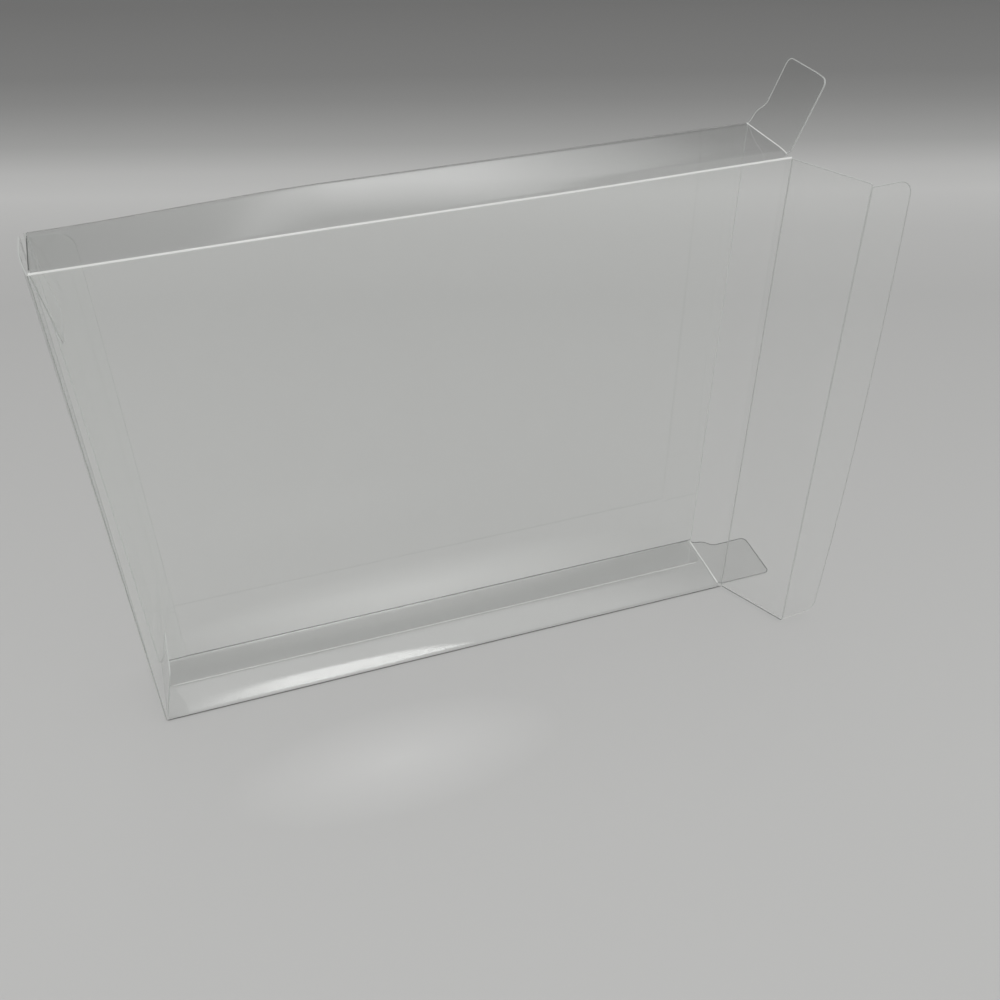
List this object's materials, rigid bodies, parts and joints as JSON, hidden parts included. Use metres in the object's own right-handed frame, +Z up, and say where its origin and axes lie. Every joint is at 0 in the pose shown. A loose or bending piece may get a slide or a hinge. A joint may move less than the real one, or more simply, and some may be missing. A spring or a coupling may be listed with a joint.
{
  "type": "clear box protector",
  "caption": "Clear folding plastic sleeve that protects a boxed game, its left end tucked shut and its right end open with lid, tuck flap and dust flaps.",
  "frame": {"origin": "centre of the sleeve's base, on the surface it stands on", "axes": "+X along the length towards the open end, +Y to the back, +Z up"},
  "size_m": [0.2753, 0.0595, 0.2225],
  "materials": {
    "clear_film": "clear glossy PET film"
  },
  "bodies": {
    "sleeve": {"sleeve": "clear_film", "left_top_dust_flap": "clear_film", "left_base_dust_flap": "clear_film"},
    "left_lid": {"left_lid": "clear_film"},
    "left_tuck_flap": {"left_tuck_flap": "clear_film"},
    "right_lid": {"right_lid": "clear_film"},
    "right_tuck_flap": {"right_tuck_flap": "clear_film"},
    "right_top_dust_flap": {"right_top_dust_flap": "clear_film"},
    "right_base_dust_flap": {"right_base_dust_flap": "clear_film"}
  },
  "joints": [
    {"name": "right_lid_crease", "type": "hinge", "parent": "sleeve", "child": "right_lid", "pos_m": [0.1208, -0.01605, 0.0995], "axis": [0, 0, 1], "range_deg": [-31, 149]},
    {"name": "right_tuck_crease", "type": "hinge", "parent": "right_lid", "child": "right_tuck_flap", "pos_m": [0.13708, -0.04314, 0.0995], "axis": [0, 0, 1], "range_deg": [-11.53, 53.5]},
    {"name": "left_lid_crease", "type": "hinge", "parent": "sleeve", "child": "left_lid", "pos_m": [-0.1208, -0.01605, 0.0995], "axis": [0, 0, -1], "range_deg": [-177, 3]},
    {"name": "left_tuck_crease", "type": "hinge", "parent": "left_lid", "child": "left_tuck_flap", "pos_m": [-0.12245, 0.01551, 0.0995], "axis": [0, 0, -1], "range_deg": [-0.74, 14.66]},
    {"name": "right_top_dust_crease", "type": "hinge", "parent": "sleeve", "child": "right_top_dust_flap", "pos_m": [0.12025, 0, 0.1988], "axis": [0, -1, 0], "range_deg": [-158, 22]},
    {"name": "right_base_dust_crease", "type": "hinge", "parent": "sleeve", "child": "right_base_dust_flap", "pos_m": [0.12025, 0, 0.0002], "axis": [0, -1, 0], "range_deg": [0, 90]}
  ],
  "couplings": [
    {"joint": "right_tuck_crease", "follows": "right_lid_crease", "ratio": 0.3557},
    {"joint": "left_tuck_crease", "follows": "left_lid_crease", "ratio": -0.08}
  ]
}
